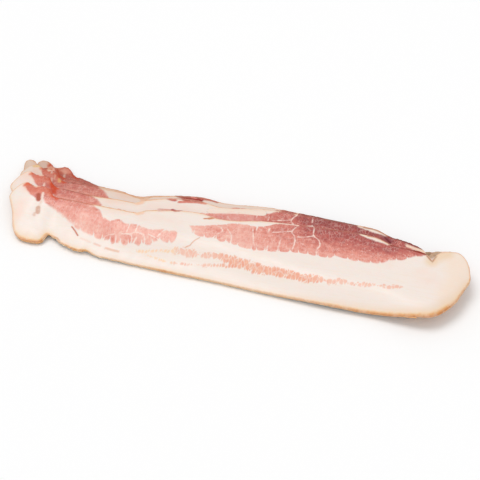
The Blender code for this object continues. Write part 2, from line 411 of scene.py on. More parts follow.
# Soft patches of darker lean and of rosier fat: middle, radii, strength
DARK_PATCHES = (
    (37.4, 40.6, 5.4, 5, 0.14), (62, 37, 5, 4, -0.10), (82, 36.6, 8, 5, 0.18), (17, 32, 2.4, 4, 0.04),
    (-5.4, 29.4, 3, 3.6, 0.12), (-5.4, 23.4, 2.0, 3, 0.14), (-60.6, 23.2, 3, 1.6, 0.16),
    (-54, 13.4, 3, 3.4, 0.14), (-61.6, 12.6, 3, 3, 0.10), (-11, 28, 8, 3, 0.06), (11.2, 33.6, 1.4, 4, 0.16),
)
ROSY_PATCHES = (
    (-119, 22, 8, 20, 0.6), (107, 24, 13, 20, 0.3), (-42, 30, 30, 8, 0.4), (-90, 10, 26, 7, 0.3),
    (-121, 38, 9, 10, 0.5), (88, 24, 26, 8, 0.2), (-66, 29, 14, 5, 0.5),
)

# How the smoked surface shows round the rim: place along the slab, how deep it reaches in, how strong it is
RIND_CRUST = (
    (-129, 1.3, 0.40), (-121, 1.6, 0.40), (-117, 2.2, 0.60), (-110, 2.9, 0.95), (-101, 2.6, 0.90),
    (-97.6, 1.5, 0.9), (-93, 1.2, 0.35), (-88, 1.1, 0.60), (-80, 1.5, 0.95), (-73, 1.1, 0.75),
    (-68, 0.8, 0.35), (-45, 0.9, 0.45), (-30, 1.1, 0.80), (-15, 1.0, 0.60), (0, 0.9, 0.50), (20, 1.1, 0.50),
    (50, 1.2, 0.60), (65, 1.6, 0.75), (85, 1.8, 0.85), (100, 2.0, 0.90), (110, 2.6, 0.95), (118, 2.8, 0.95),
    (122, 1.8, 0.85), (127, 1.2, 0.75),
)
MEAT_CRUST = (
    (-129, 1.3, 0.60), (-122, 1.1, 0.60), (-108, 1.0, 0.75), (-80, 1.2, 0.85), (-55, 1.3, 0.90),
    (-20, 1.1, 0.85), (-5, 1.0, 0.80), (30, 0.9, 0.85), (60, 0.9, 0.95), (80, 1.0, 0.95), (101, 0.9, 0.85),
    (106, 1.6, 0.85), (112, 1.1, 0.65), (120, 1.0, 0.65), (127, 1.0, 0.75),
)


def band_field(x, y, line):
    """How far inside a narrow streak each place lies, for its places, middles and half widths."""
    curve = flowing(line)
    middle = np.interp(x, curve[:, 0], curve[:, 1])
    half = np.interp(x, curve[:, 0], curve[:, 2])
    past_end = np.maximum(curve[0, 0] - x, x - curve[-1, 0])
    return np.minimum(half - np.abs(y - middle), -past_end)


def patches(x, y, spots):
    """The sum of soft patches, each given by its middle, its radii and its strength."""
    return sum(
        strength * smoothstep(1.0, 0.0, np.hypot((x - px) / rx, (y - py) / ry))
        for px, py, rx, ry, strength in spots
    )


def redness(x, y):
    places, low, low_red, high, high_red = np.array(REDNESS).T
    low, low_red, high, high_red = (np.interp(x, places, row) for row in (low, low_red, high, high_red))
    share = smoothstep(0.0, 1.0, (y - low) / (high - low))
    return low_red + (high_red - low_red) * share + patches(x, y, DARK_PATCHES)


# Strokes on the drawing: the rashers that show it, its points, half width, softness, colour in sRGB, strength
EVERY = (0, 1, 2, 3, 4)
STROKES = (
    (EVERY, ((-120.4, 38.8), (-115, 34), (-108.6, 37), (-104.4, 34.6)), 1.8, 2.4, (230, 122, 86), 0.5),
    ((4,), ((-118.4, 36), (-117, 40), (-108, 38)), 3.2, 1.5, (246, 176, 162), 0.95),
    ((4,), ((-117.6, 41), (-116, 37.6), (-114.6, 33.6)), 0.3, 1.2, (214, 112, 72), 0.85),
    ((4,), ((-121.4, 37), (-119.4, 38.8), (-117.6, 36.8)), 0.2, 0.9, (255, 226, 214), 0.8),
    ((4,), ((-111.6, 36), (-109.6, 34.4)), 0.4, 1.4, (255, 206, 190), 0.7),
    ((3,), ((-114.6, 39.4), (-112, 36.4)), 1.6, 1.6, (242, 164, 136), 0.9),
    ((3,), ((-116.4, 33.6), (-111, 33.2), (-107, 31)), 0.3, 1.4, (250, 190, 176), 0.6),
    ((3,), ((-112.8, 38.4), (-110.6, 37.2), (-109.4, 35.4)), 0.3, 0.9, (255, 216, 202), 0.75),
    ((4,), ((-123.6, 40.4), (-119, 41.2), (-114, 40.4), (-107.4, 38.6)), 0.5, 1.3, (226, 128, 84), 0.9),
    ((0,), ((-111.6, 31.6), (-110.5, 28.8)), 0.8, 1.0, (178, 84, 60), 0.9),
    ((0,), ((-109.4, 33.4), (-108.2, 27.6)), 0.25, 0.7, (246, 216, 202), 0.8),
    ((0,), ((-108.7, 27.4), (-108.6, 24.8)), 0.2, 0.8, (232, 206, 190), 0.6),
    ((0,), ((-108.9, 23.8), (-108.3, 21.8)), 0.9, 0.8, (216, 170, 148), 0.9),
    ((0,), ((-109.6, 20.6), (-109.7, 19.6)), 0.4, 0.7, (224, 186, 166), 0.7),
    (EVERY, ((-122.2, 37.8), (-121.4, 39.8), (-119.6, 39.0)), 0.4, 1.5, (226, 108, 70), 0.75),
    (EVERY, ((-117, 36.6), (-114.4, 36), (-112.6, 38.6), (-109, 40)), 0.2, 1.0, (214, 104, 80), 0.5),
    (EVERY, ((-107, 38.2), (-104.6, 35.4), (-103.2, 33), (-100.8, 31.6)), 0.5, 1.8, (214, 86, 50), 0.85),
    ((1,), ((-104.4, 33.6), (-103.2, 31.4), (-101, 27.6)), 0.8, 1.8, (208, 74, 38), 0.85),
    (EVERY, ((-99, 33), (-88, 33), (-81, 31.8)), 0.2, 1.2, (212, 124, 96), 0.7),
    (EVERY, ((-86.6, 16.6), (-84, 14.6), (-81.6, 12.2)), 0.15, 0.45, (206, 120, 96), 1.0),
    (EVERY, ((-79.4, 11.0), (-76.2, 10.2), (-73.6, 9.4)), 0.05, 0.9, (242, 206, 190), 0.6),
    (EVERY, ((-71, 9.0), (-67.6, 8.2)), 0.15, 0.8, (238, 196, 178), 0.8),
    (EVERY, ((-64, 7.4), (-60.3, 6.9), (-56.6, 6.7)), 0.2, 0.8, (236, 192, 168), 0.85),
    (EVERY, ((-21.6, 14.4), (-19.4, 15.6), (-18, 18), (-15.6, 20.8)), 0.08, 0.32, (228, 160, 118), 0.85),
    (EVERY, ((-53.4, 30.8), (-51.6, 31.8)), 0.7, 1.5, (248, 198, 166), 0.8),
    ((1, 2, 3, 4), ((102.6, 39.8), (106, 37), (109.6, 41)), 1.8, 1.6, (164, 130, 98), 0.9),
    ((0,), ((118, 12), (121, 24), (118, 36)), 1.5, 9.0, (246, 220, 196), 0.55),
    ((0,), ((105.8, 33.6), (108, 37.6), (113, 41.6)), 0.6, 5.0, (236, 200, 156), 0.6),
    ((0,), ((103, 37.4), (105.2, 34.8), (106.2, 34)), 0.15, 0.8, (158, 92, 58), 0.95),
    ((0,), ((106.2, 34), (107.6, 38.4)), 0.1, 0.8, (164, 112, 78), 0.85),
    ((1,), ((69.6, 45.2), (74.8, 45), (77.8, 44), (80.4, 42.8), (83.6, 41)), 0.5, 0.8, (158, 66, 40), 1.0),
    ((0,), ((70.6, 45.1), (74.8, 45), (77.8, 44), (80.4, 42.8), (83.6, 41.2)), 0.3, 0.8, (190, 94, 54), 1.0),
    ((0,), ((-99.7, 7.4), (-98.6, 10.2)), 0.3, 1.2, (178, 100, 50), 0.9),
    ((0,), ((-95.4, 9.6), (-92.4, 8.8), (-90.4, 7.2)), 0.1, 0.8, (206, 140, 84), 0.8),
    ((1,), ((81.8, 39.4), (84.4, 37.4)), 1.0, 1.0, (146, 74, 82), 0.9),
    ((1,), ((81.6, 39.6), (83, 38.2), (85.2, 36)), 0.05, 0.7, (92, 30, 26), 0.9),
    ((1,), ((84.8, 41.2), (92, 40.8), (100.4, 39.6), (104, 38)), 0.5, 1.1, (130, 56, 44), 0.95),
    ((1,), ((94, 37.6), (98, 37.4), (104, 37.6)), 0.6, 0.8, (250, 222, 200), 0.95),
    ((0,), ((83.4, 41), (92, 40.4), (102.4, 38.6)), 0.3, 0.8, (150, 58, 42), 1.0),
    ((0,), ((-43, 36), (-38.4, 37.6), (-30.6, 39.5)), 0.25, 0.8, (204, 112, 92), 0.85),
    ((0,), ((-34.6, 38.3), (-32.6, 39)), 0.7, 0.8, (186, 66, 60), 0.95),
    ((0,), ((13, 41.6), (20, 42.7), (27, 43.4), (33, 43.9)), 0.35, 0.6, (246, 222, 206), 0.95),
    ((0,), ((35, 44.2), (45, 45), (55, 45.5), (65, 45.7), (70, 45.5)), 0.15, 0.6, (208, 142, 114), 0.8),
    (
        (1,), ((22, 43.2), (30, 43.9), (40, 44.7), (50, 45.3), (60, 45.7), (68, 45.6)),
        0.1, 0.6, (200, 134, 94), 0.7,
    ),
    ((0,), ((-17.4, 35.9), (-14.8, 36.7)), 0.1, 0.7, (204, 118, 70), 1.0),
    ((0,), ((-14.8, 36.7), (-12.6, 37.9)), 0.45, 0.7, (204, 118, 70), 1.0),
    ((1,), ((-39, 37.5), (-36.2, 36.6), (-34.4, 36.6)), 0.6, 0.8, (192, 62, 54), 0.95),
    ((1,), ((-35, 38.4), (-31, 38.6), (-28, 38.4)), 0.4, 0.7, (178, 70, 66), 0.85),
    ((1,), ((-41, 27.4), (-36.6, 27.9), (-28, 28.4)), 0.1, 0.7, (208, 110, 86), 0.75),
    ((1,), ((-33.4, 28.2), (-31, 27.6), (-28.6, 28.2)), 0.6, 0.7, (178, 40, 44), 0.95),
    ((1,), ((-31.8, 35.7), (-28.4, 36.8), (-22.6, 38.2), (-17.6, 38.6)), 0.5, 0.9, (214, 106, 86), 0.9),
    ((1,), ((-29.6, 39), (-25, 39.8), (-20.4, 40.2)), 1.3, 0.7, (164, 10, 24), 1.0),
    ((2,), ((-35, 39.4), (-30.6, 38.4), (-26.6, 38), (-22.6, 38.2)), 1.9, 0.9, (160, 8, 22), 1.0),
    ((2,), ((-22, 38.8), (-17, 38.8), (-12.6, 38)), 0.7, 0.8, (186, 46, 44), 1.0),
    ((2,), ((-27.4, 38.8), (-25, 38.2)), 0.3, 0.7, (236, 130, 128), 0.8),
    ((3,), ((-33, 38.6), (-24, 38.8), (-16, 38.6)), 1.4, 0.8, (164, 12, 24), 1.0),
    ((3,), ((-17, 38.8), (-9, 38.6)), 0.5, 0.8, (190, 70, 52), 0.95),
    ((4,), ((-36, 39), (-24, 39.2), (-10, 38.8)), 1.2, 0.8, (190, 44, 44), 0.95),
    ((1,), ((-11.4, 31.6), (-11.8, 35.4)), 0.05, 0.35, (230, 196, 172), 0.5),
    (
        (1,), ((-13, 33.4), (-5, 35.3), (0, 36.4), (5.4, 37.3), (11, 37.8), (14.5, 38.6)),
        1.9, 0.5, (246, 228, 214), 1.0,
    ),
    ((1,), ((-6, 29.6), (2, 30.4), (12, 32)), 2.4, 2.0, (220, 150, 146), 0.4),
    # Pale flecks on the knobs of rashers 2 and 3: partly bits of fat, partly painted highlights of the wet
    # knobs
    ((1, 2), ((-109.4, 32.6), (-108.8, 31.4)), 0.2, 0.9, (246, 200, 180), 0.8),
    ((2,), ((-112.4, 39), (-112, 36.6)), 0.3, 0.9, (240, 212, 196), 0.85),
    ((2,), ((-108.2, 35.6), (-107.6, 33.4)), 0.2, 0.7, (238, 192, 168), 0.8),
    ((2,), ((-104.6, 33.8), (-103.8, 31.6)), 0.5, 0.9, (236, 186, 134), 0.9),
    ((2,), ((-127.4, 38.6), (-123, 39.8)), 0.5, 1.0, (240, 200, 134), 0.9),
)


def paint(rasher, x, y):
    """Colour and strength of the strokes at each place, as RGBA."""
    colour = np.zeros(x.shape + (3,))
    cover = np.zeros(x.shape)
    for rashers, points, half, soft, tone, strength in STROKES:
        if rasher.index not in rashers:
            continue
        new = strength * (1 - smoothstep(half, half + soft, line_distance(x, y, points)))
        total = cover + new * (1 - cover)
        share = np.divide(new, total, out=np.zeros_like(new), where=total > 1e-6)[..., None]
        colour = colour * (1 - share) + np.array(srgb(*tone)) * share
        cover = total
    return np.concatenate([colour, cover[..., None]], axis=-1)


# ----------------------------------------------------------
# Building the meshes


class Rim:
    """The outline of a rasher's upper face, with how the smoked surface shows at each of its points."""

    def __init__(self, rasher):
        points, crust = [], []
        for line, table, at_rind in zip(rasher.upper, (RIND_CRUST, MEAT_CRUST), (1, 0)):
            along = rasher.slab_x(line[:, 0])
            place, reach, strength = np.array(table).T
            points.append(line)
            crust.append(np.column_stack([
                np.interp(along, place, reach),
                np.interp(along, place, strength),
                np.full(len(line), at_rind),
            ]))
        self.crust = np.vstack(crust)
        points = np.vstack(points)
        self.tree = KDTree(len(points))
        for index, (x, y) in enumerate(points):
            self.tree.insert((x, y, 0.0), index)
        self.tree.balance()

    def read(self, x, y):
        """Distance to the outline, then the crust's reach and strength and 1 at the rind or 0 at the meat."""
        found = [self.tree.find((px, py, 0.0)) for px, py in zip(x.ravel(), y.ravel())]
        distance = np.array([hit[2] for hit in found])
        crust = self.crust[[hit[1] for hit in found]]
        return distance, crust


def cragged(rasher, xs, table):
    """How far an edge strays to and fro at each place, fading out towards the rasher's ends."""
    along = rasher.slab_x(xs)
    seed = CRAG_SEED * rasher.index + table[0][1]
    to_and_fro = sum(
        weight * wander(along, 0 * along, size, seed + layer)
        for layer, (size, weight) in enumerate(CRAG_LAYERS)
    )
    fade = smoothstep(0, CRAG_FADE, np.minimum(along - SLAB_ENDS[0], SLAB_ENDS[1] - along))
    return MM * fade * np.interp(along, *np.array(table).T) * to_and_fro


def border(shape):
    """The border of a grid of points, once round, as pairs of a column and a row."""
    columns, rows = shape
    loop = [(i, 0) for i in range(columns)]
    loop += [(columns - 1, j) for j in range(1, rows)]
    loop += [(i, rows - 1) for i in range(columns - 2, -1, -1)]
    loop += [(0, j) for j in range(rows - 2, 0, -1)]
    return np.array(loop)


def quads(*corners):
    return np.stack(corners, -1).reshape(-1, 4)


def rasher_faces(shape, rows, loop):
    """Faces over the upper grid, the lower grid, which has only these rows, and the wall between."""
    grid = np.arange(shape[0] * shape[1]).reshape(shape)
    low_start = grid.size + len(WALL_LEVELS) * len(loop)
    low_grid = low_start + np.arange(shape[0] * len(rows)).reshape(shape[0], len(rows))
    rings = [grid[tuple(loop.T)]]
    rings += [grid.size + level * len(loop) + np.arange(len(loop)) for level in range(len(WALL_LEVELS))]
    sheets = [
        quads(grid[:-1, :-1], grid[1:, :-1], grid[1:, 1:], grid[:-1, 1:]),
        quads(low_grid[:-1, :-1], low_grid[:-1, 1:], low_grid[1:, 1:], low_grid[1:, :-1]),
    ]
    for above, below in zip(rings, rings[1:]):
        sheets.append(quads(above, below, np.roll(below, -1), np.roll(above, -1)))
    faces = [tuple(face) for face in np.vstack(sheets).tolist()]

    # The last band ends on the lower grid, which has fewer rows, so some of its faces have more corners
    low_row = {int(row): place for place, row in enumerate(rows)}
    run = [(at, int(low_grid[i, low_row[int(j)]])) for at, (i, j) in enumerate(loop) if int(j) in low_row]
    for (first, low), (end, next_low) in zip(run, run[1:] + run[:1]):
        stop = end if end > first else end + len(loop)
        band = [int(rings[-1][at % len(loop)]) for at in range(first, stop + 1)]
        faces.append((low, next_low, *band[::-1]))
    return faces


def rounded_top(rasher, along, across, distance, height):
    """The upper face's heights with its relief, rounded off at the rim."""
    seed = RASHER_SEED * rasher.index
    relief = sum(rise * wander(along, across, size, seed + layer) for rise, size, layer in RELIEF)
    drop = np.clip(RIM_RADIUS - distance, 0, RIM_RADIUS)
    rounding = RIM_RADIUS - np.sqrt(np.maximum(RIM_RADIUS**2 - drop**2, 0))
    return height + relief * smoothstep(0, 2 * MM, distance) - rounding


def add_drawing(mesh, rasher, along, across, depth):
    """Stores what the slab's drawing shows at each point of a mesh, for the material to read."""
    tip_along = along - FINGER_SHIFTS[rasher.index] * smoothstep(*FINGER_SHIFT_AT, along)
    lean = np.maximum.reduce([
        inside_by(shape_along, across, flowing(shape + shape[:1], 4)[:-1])
        for shape, shape_along in ((LEFT_LEAN, along), (RIGHT_LEAN, along), (FINGER, tip_along))
    ])
    septa = np.min([line_distance(along, across, flowing(line, 4)) for line in SEPTA], axis=0)
    streak = np.maximum.reduce([band_field(along, across, line) for line in (STREAK, LOWER_STREAK)])
    places, *rows = np.array(LEAN_EDGE).T
    middle, clefts, softness = (np.interp(along, places, row) for row in rows)
    below = smoothstep(middle + 2, middle - 2, across)
    red = redness(along, across) + LOWER_REDDER * min(rasher.index, 1)
    add_fields(
        mesh, lean=lean, septa=septa, streak=streak, clefts=clefts * (0.2 + 0.8 * below),
        softness=softness, red=red, rosy=patches(along, across, ROSY_PATCHES),
    )
    slab = mesh.attributes.new("slab", "FLOAT_VECTOR", "POINT")
    far = depth + TEXTURE_SHIFT * (RASHER_SEED * rasher.index)
    slab.data.foreach_set("vector", np.column_stack([along, across, far]).ravel())
    strokes = mesh.attributes.new("strokes", "FLOAT_COLOR", "POINT")
    strokes.data.foreach_set("color", paint(rasher, tip_along, across).ravel())


def build_rasher(rasher, top_rasher, step):
    # Where the columns and rows of points run, over the upper and the lower face
    xs = spread(rasher.left, rasher.right, step)
    (front, back), (low_front, low_back) = (
        [np.interp(xs, curve[:, 0], curve[:, 1]) for curve in sheet[:2]]
        for sheet in (rasher.upper, rasher.lower)
    )
    rind_crags, meat_crags = (cragged(rasher, xs, table) for table in (RIND_CRAGS, MEAT_CRAGS))
    front, low_front = front + rind_crags, low_front + rind_crags
    back, low_back = back + meat_crags, low_back + meat_crags
    y = spread(front, back, step)
    x = np.broadcast_to(xs[:, None], y.shape)
    rows = np.unique(np.append(np.arange(0, y.shape[1], UNDER_EVERY), y.shape[1] - 1))
    share = (y - front[:, None]) / (back - front)[:, None]
    low_x = x[:, rows]
    low_y = (low_front[:, None] + share * (low_back - low_front)[:, None])[:, rows]

    # Heights
    edge = Rim(rasher)
    distance, crust = edge.read(x, y)
    distance = distance.reshape(x.shape)
    along, across = rasher.slab_x(x), slab_y(rasher, top_rasher, x, y)
    top = rounded_top(rasher, along, across, distance, rasher.upper[2].read(x, y))
    bottom = rasher.lower[2].read(low_x, low_y)

    # Vertices: the upper face, levels of the wall, the lower face
    loop = border(y.shape)
    ring = tuple(loop.T)
    rim = np.column_stack([x[ring], y[ring], top[ring]])
    foot = rim.copy()
    foot[:, 1] = low_front[loop[:, 0]] + share[ring] * (low_back - low_front)[loop[:, 0]]
    foot[:, 2] = [np.interp(j, rows, bottom[i]) for i, j in loop]
    levels = [rim + (foot - rim) * level for level in WALL_LEVELS]
    upper_points = np.column_stack([x.ravel(), y.ravel(), top.ravel()])
    low_points = np.column_stack([low_x.ravel(), low_y.ravel(), bottom.ravel()])
    vertices = np.vstack([upper_points, *levels, low_points])
    upper, wall, lower = len(upper_points), len(levels) * len(loop), len(low_points)

    mesh = bpy.data.meshes.new(rasher.name + "_meat")
    mesh.from_pydata(vertices.tolist(), [], rasher_faces(y.shape, rows, loop))
    mesh.update()

    # What each point shows
    point_x, point_y = vertices[:, 0], vertices[:, 1]
    depth = np.concatenate([
        np.zeros(upper), np.repeat(np.array(WALL_LEVELS) * SLICE, len(loop)), np.full(lower, SLICE),
    ])
    point_across = slab_y(rasher, top_rasher, point_x, point_y)
    add_drawing(mesh, rasher, rasher.slab_x(point_x), point_across, depth)
    low_distance, low_crust = edge.read(low_x, low_y)
    ring_crust = crust.reshape(*x.shape, 3)[ring]
    reach, strength, rind = np.vstack([crust, *[ring_crust] * len(levels), low_crust]).T
    add_fields(
        mesh, rim=np.concatenate([distance.ravel(), np.zeros(wall), low_distance]) / MM,
        reach=reach, crust=strength, rind=rind,
        wall=np.concatenate([np.zeros(upper), np.ones(wall), np.zeros(lower)]),
    )

    mesh.shade_smooth()
    piece = bpy.data.objects.new(rasher.name + "_meat", mesh)
    bpy.context.scene.collection.objects.link(piece)
    return piece


def add_fields(mesh, **fields):
    for name, values in fields.items():
        field = mesh.attributes.new(name, "FLOAT", "POINT")
        field.data.foreach_set("value", np.ascontiguousarray(values, dtype=np.float32))


# ----------------------------------------------------------
# The material


FAT = srgb(244, 231, 222)
FAT_ROSY = srgb(246, 214, 199)
FAT_CREAM = srgb(243, 225, 208)
FAT_SMOKED = srgb(240, 210, 178)
LEAN_TONES = (
    (0.0, srgb(249, 204, 188)), (0.2, srgb(242, 178, 162)), (0.4, srgb(229, 146, 130)),
    (0.6, srgb(206, 114, 101)), (0.8, srgb(184, 88, 80)), (1.0, srgb(152, 64, 61)),
)
SEAM = srgb(250, 226, 214)
STREAK_TONES = ((0.25, srgb(246, 194, 166)), (0.75, srgb(236, 156, 130)))
STREAK_PALE = srgb(250, 214, 180)
RIND_TONES = (
    (0.0, srgb(190, 112, 52)), (0.3, srgb(226, 160, 92)), (0.65, srgb(240, 202, 152)),
    (1.0, srgb(244, 220, 192)),
)
MEAT_RIM_TANS = ((0.0, srgb(208, 124, 64)), (0.4, srgb(232, 166, 104)), (0.9, srgb(244, 212, 182)))
MEAT_RIM_REDS = ((0.3, srgb(214, 122, 80)), (0.6, srgb(164, 80, 52)), (0.85, srgb(132, 62, 42)))
WALL_PALE = srgb(248, 214, 170)
WALL_TONES = ((0.3, srgb(206, 122, 52)), (0.5, srgb(242, 180, 104)), (0.7, srgb(250, 208, 146)))

# Painted shade: how much each rasher's colour is darkened and greyed, from the top one down, for the shade on
# the lower rashers under the ones above
PAINTED_SHADE_BY_RASHER = ((1.0, 1.0, 1.0), (0.98, 0.96, 0.95), (0.88, 0.83, 0.80), (0.80, 0.70, 0.63), (0.74, 0.60, 0.53))


class Graph:
    """A material's nodes, made by short calls that return sockets."""

    def __init__(self, name):
        self.material = bpy.data.materials.new(name)
        self.material.use_nodes = True
        self.nodes = self.material.node_tree.nodes
        self.links = self.material.node_tree.links
        self.shader = self.nodes["Principled BSDF"]

    def node(self, kind, inputs=(), **settings):
        made = self.nodes.new(kind)
        for key, value in settings.items():
            setattr(made, key, value)
        for key, value in dict(inputs).items():
            self.set(made.inputs[key], value)
        return made

    def set(self, socket, value):
        if isinstance(value, bpy.types.NodeSocket):
            self.links.new(value, socket)
        elif isinstance(value, tuple) and len(value) == 3 and socket.type == "RGBA":
            socket.default_value = (*value, 1.0)
        else:
            socket.default_value = value

    def field(self, name):
        return self.node("ShaderNodeAttribute", attribute_name=name).outputs["Fac"]

    def vector(self, name):
        return self.node("ShaderNodeAttribute", attribute_name=name).outputs["Vector"]

    def math(self, operation, *values, clamp=False):
        made = self.node("ShaderNodeMath", operation=operation, use_clamp=clamp)
        for socket, value in zip(made.inputs, values):
            self.set(socket, value)
        return made.outputs[0]

    def ramp(self, value, low, high, to_low=0.0, to_high=1.0):
        made = self.node(
            "ShaderNodeMapRange",
            {"Value": value, "From Min": low, "From Max": high, "To Min": to_low, "To Max": to_high},
            interpolation_type="SMOOTHSTEP",
        )
        return made.outputs["Result"]

    def mix(self, factor, first, second):
        made = self.node("ShaderNodeMix", data_type="RGBA")
        for index, value in ((0, factor), (6, first), (7, second)):
            self.set(made.inputs[index], value)
        return made.outputs[2]

    def tones(self, value, stops):
        made = self.node("ShaderNodeValToRGB", {"Fac": value})
        elements = made.color_ramp.elements
        while len(elements) < len(stops):
            elements.new(0.5)
        for element, (place, colour) in zip(elements, stops):
            element.position = place
            element.color = (*colour, 1.0)
        return made.outputs["Color"]

    def around(self, value, amount):
        """A noise value made to vary about 0, by up to about half of this amount."""
        return self.math("MULTIPLY", self.math("SUBTRACT", value, 0.5), amount)

    def stretched(self, vector, scale, turn=0.0):
        made = self.node("ShaderNodeMapping", {"Vector": vector, "Scale": scale})
        made.inputs["Rotation"].default_value = (0, 0, math.radians(turn))
        return made.outputs["Vector"]

    def noise(self, vector, size, detail=2.0, rough=0.5):
        made = self.node(
            "ShaderNodeTexNoise",
            {"Vector": vector, "Scale": 1.0 / size, "Detail": detail, "Roughness": rough},
        )
        return made.outputs["Fac"]

    def cells(self, vector, feature="F1"):
        return self.node("ShaderNodeTexVoronoi", {"Vector": vector, "Scale": 1.0}, feature=feature)

    def rows(self, vector, size, turn):
        """Distance to the seams between uneven strips of about this size, as a share of the size."""
        angle = math.radians(turn)
        place = self.node("ShaderNodeVectorMath", operation="DOT_PRODUCT")
        self.set(place.inputs[0], vector)
        place.inputs[1].default_value = (math.cos(angle) / size, math.sin(angle) / size, 0.0)
        made = self.node(
            "ShaderNodeTexVoronoi", {"W": place.outputs["Value"], "Scale": 1.0},
            voronoi_dimensions="1D", feature="DISTANCE_TO_EDGE",
        )
        return made.outputs["Distance"]

    def rounded(self, distance, corner, depth):
        """How far round-ended strips are cut back, from nothing at their middles to most at the seams."""
        near = self.math("SUBTRACT", 1.0, self.math("DIVIDE", distance, corner), clamp=True)
        arc = self.math("SQRT", self.math("SUBTRACT", 1.0, self.math("MULTIPLY", near, near)))
        return self.math("MULTIPLY", self.math("SUBTRACT", 1.0, arc), depth)

    def warped(self, vector, size, amount):
        """The vector pushed about by a noise of this size, by up to this amount."""
        push = self.node("ShaderNodeTexNoise", {"Vector": vector, "Scale": 1.0 / size, "Detail": 2.0})
        centred = self.node("ShaderNodeVectorMath", operation="SUBTRACT")
        self.set(centred.inputs[0], push.outputs["Color"])
        centred.inputs[1].default_value = (0.5, 0.5, 0.5)
        scaled = self.node("ShaderNodeVectorMath", operation="SCALE")
        self.set(scaled.inputs[0], centred.outputs[0])
        scaled.inputs["Scale"].default_value = 2 * amount
        total = self.node("ShaderNodeVectorMath", operation="ADD")
        self.set(total.inputs[0], vector)
        self.set(total.inputs[1], scaled.outputs[0])
        return total.outputs[0]


ACROSS_TURN = 15  # degrees that the bundles of fibres are turned from straight across the slab


